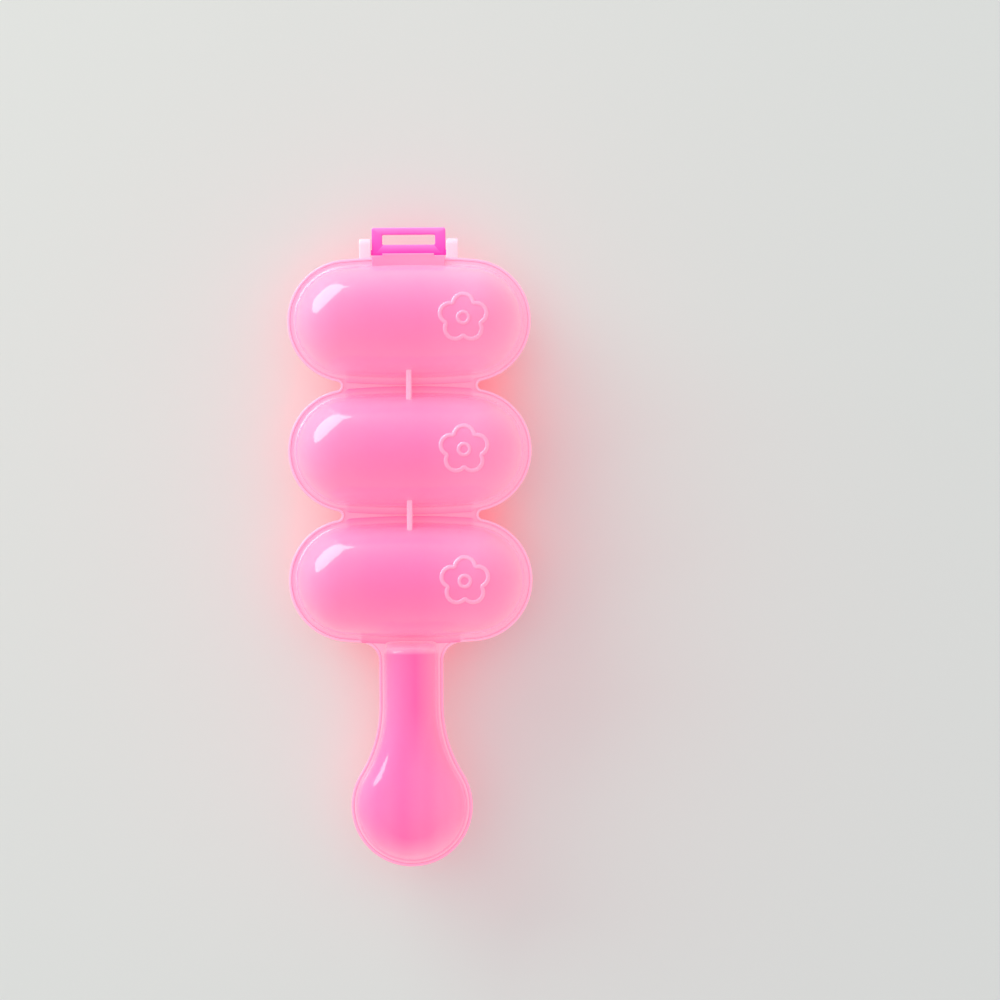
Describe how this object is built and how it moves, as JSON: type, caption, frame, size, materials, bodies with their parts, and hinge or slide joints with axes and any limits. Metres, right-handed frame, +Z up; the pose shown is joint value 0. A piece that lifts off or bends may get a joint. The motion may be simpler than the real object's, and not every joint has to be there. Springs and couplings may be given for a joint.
{
  "type": "sushi rice mold press",
  "caption": "Clam-shell rice mold with capsule bowls side by side, a flat teardrop grip and a flip-over latch frame.",
  "frame": {"origin": "middle of the bounding box at the level of the feet on the lower crowns", "axes": "+Y along the tool towards the latch, +X across it, +Z up through the parting plane"},
  "size_m": [0.0864, 0.2266, 0.0403],
  "materials": {
    "shell_pink": "glossy, slightly see-through",
    "latch_magenta": "glossy"
  },
  "bodies": {
    "lower_half": {"lower_shell": "shell_pink"},
    "upper_half": {"upper_shell": "shell_pink"},
    "latch_frame": {"latch": "latch_magenta"}
  },
  "joints": [
    {"name": "upper_lift", "type": "slide", "parent": "lower_half", "child": "upper_half", "axis": [0, 0, 1], "range_m": [0, 0.06]},
    {"name": "latch_flip", "type": "hinge", "parent": "lower_half", "child": "latch_frame", "pos_m": [0, 0.10453, 0.0187], "axis": [1, 0, 0], "range_deg": [-90, 90]}
  ]
}
